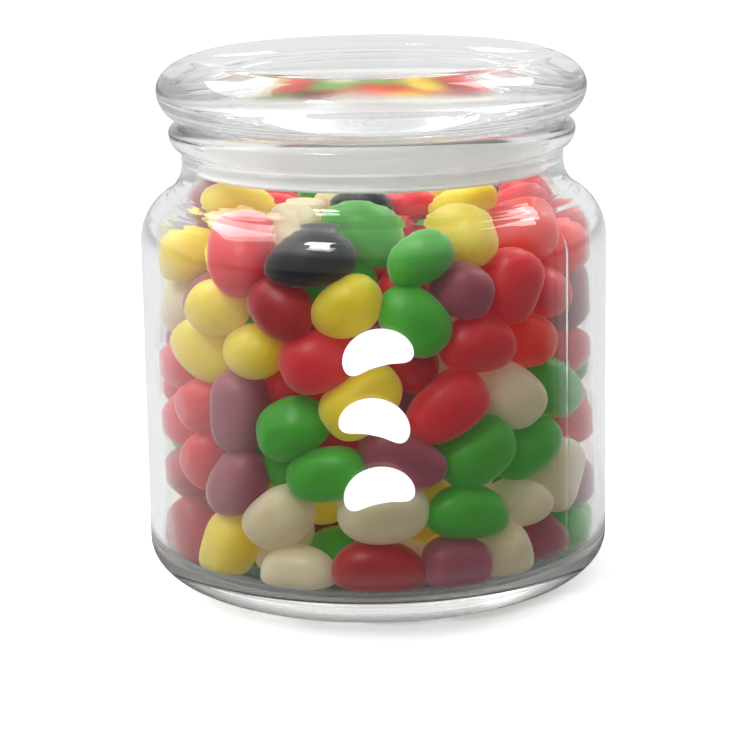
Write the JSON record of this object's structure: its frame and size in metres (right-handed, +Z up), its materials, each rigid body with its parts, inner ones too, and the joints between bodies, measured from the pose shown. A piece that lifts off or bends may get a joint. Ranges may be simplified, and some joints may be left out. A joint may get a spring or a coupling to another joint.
{
  "type": "jar of jelly beans",
  "caption": "Squat round glass jar with a thick pressed glass lid and soft seal, filled to the neck with jelly beans in mixed colours.",
  "frame": {"origin": "on the jar's axis, at the level its foot stands on", "axes": "+Z up along the jar's axis; the printed front faces -Y"},
  "size_m": [0.12, 0.12, 0.1363],
  "materials": {
    "clear_glass": "clear soda-lime glass, pressed and fire-polished",
    "seal_plastic": "soft cloudy polyethylene, moulded",
    "sugar_shell": "panned sugar shells in mixed colours, satin",
    "white_print": "fired white screen print"
  },
  "bodies": {
    "root": {"jar": "clear_glass", "lid": "clear_glass", "seal": "seal_plastic", "jelly_beans": "sugar_shell"}
  },
  "joints": []
}
